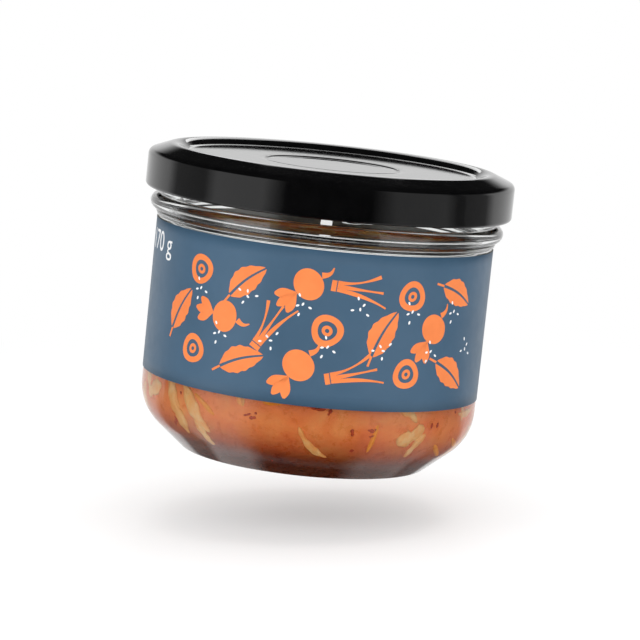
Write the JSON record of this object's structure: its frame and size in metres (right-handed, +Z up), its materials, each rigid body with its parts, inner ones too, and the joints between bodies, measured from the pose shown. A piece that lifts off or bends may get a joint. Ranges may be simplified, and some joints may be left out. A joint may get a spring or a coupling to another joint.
{
  "type": "jar of kimchi",
  "caption": "Squat glass jar with a black twist-off lid and a wrap-round paper label, filled with kimchi.",
  "frame": {"origin": "middle of the ring the jar stands on, at the lowest point of the glass", "axes": "+Z up along the jar's axis; -Y towards the front of the label; the gap between the label's ends is on +Y"},
  "size_m": [0.0856, 0.0856, 0.0703],
  "materials": {
    "jar_glass": "clear flint glass",
    "lid_lacquer": "black gloss lacquer",
    "label_paper": "satin slate blue",
    "kimchi_fill": "wet"
  },
  "bodies": {
    "root": {"glass_jar": "jar_glass", "lid": "lid_lacquer", "label": "label_paper", "kimchi": "kimchi_fill"}
  },
  "joints": []
}
